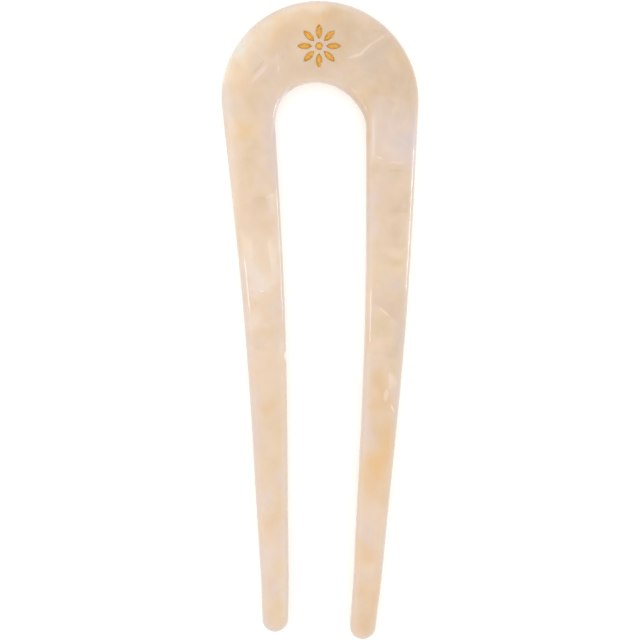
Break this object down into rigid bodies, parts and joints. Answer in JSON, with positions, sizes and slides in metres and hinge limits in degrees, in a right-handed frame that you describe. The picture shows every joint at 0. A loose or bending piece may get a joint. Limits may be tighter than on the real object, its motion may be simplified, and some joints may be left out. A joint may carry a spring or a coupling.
{
  "type": "french hair pin",
  "caption": "Flat two-pronged hair pin with a broad round crown over an arch, long tapering prongs with round tips, and a small round gold ornament on the crown.",
  "frame": {"origin": "middle of the pin's footprint, on the surface that its back face rests on", "axes": "+Y from the tips to the crown, +Z out of the front face, +X to the right of someone who looks at the front with the crown up"},
  "size_m": [0.04, 0.1294, 0.0042],
  "materials": {
    "acetate": "polished, marbled pearl cream",
    "gold": "polished gold plate"
  },
  "bodies": {
    "root": {"hair_pin": "acetate", "rosette_stud": "gold", "rosette_leaf_1": "gold", "rosette_leaf_2": "gold", "rosette_leaf_3": "gold", "rosette_leaf_4": "gold", "rosette_leaf_5": "gold", "rosette_leaf_6": "gold", "rosette_leaf_7": "gold", "rosette_leaf_8": "gold"}
  },
  "joints": []
}
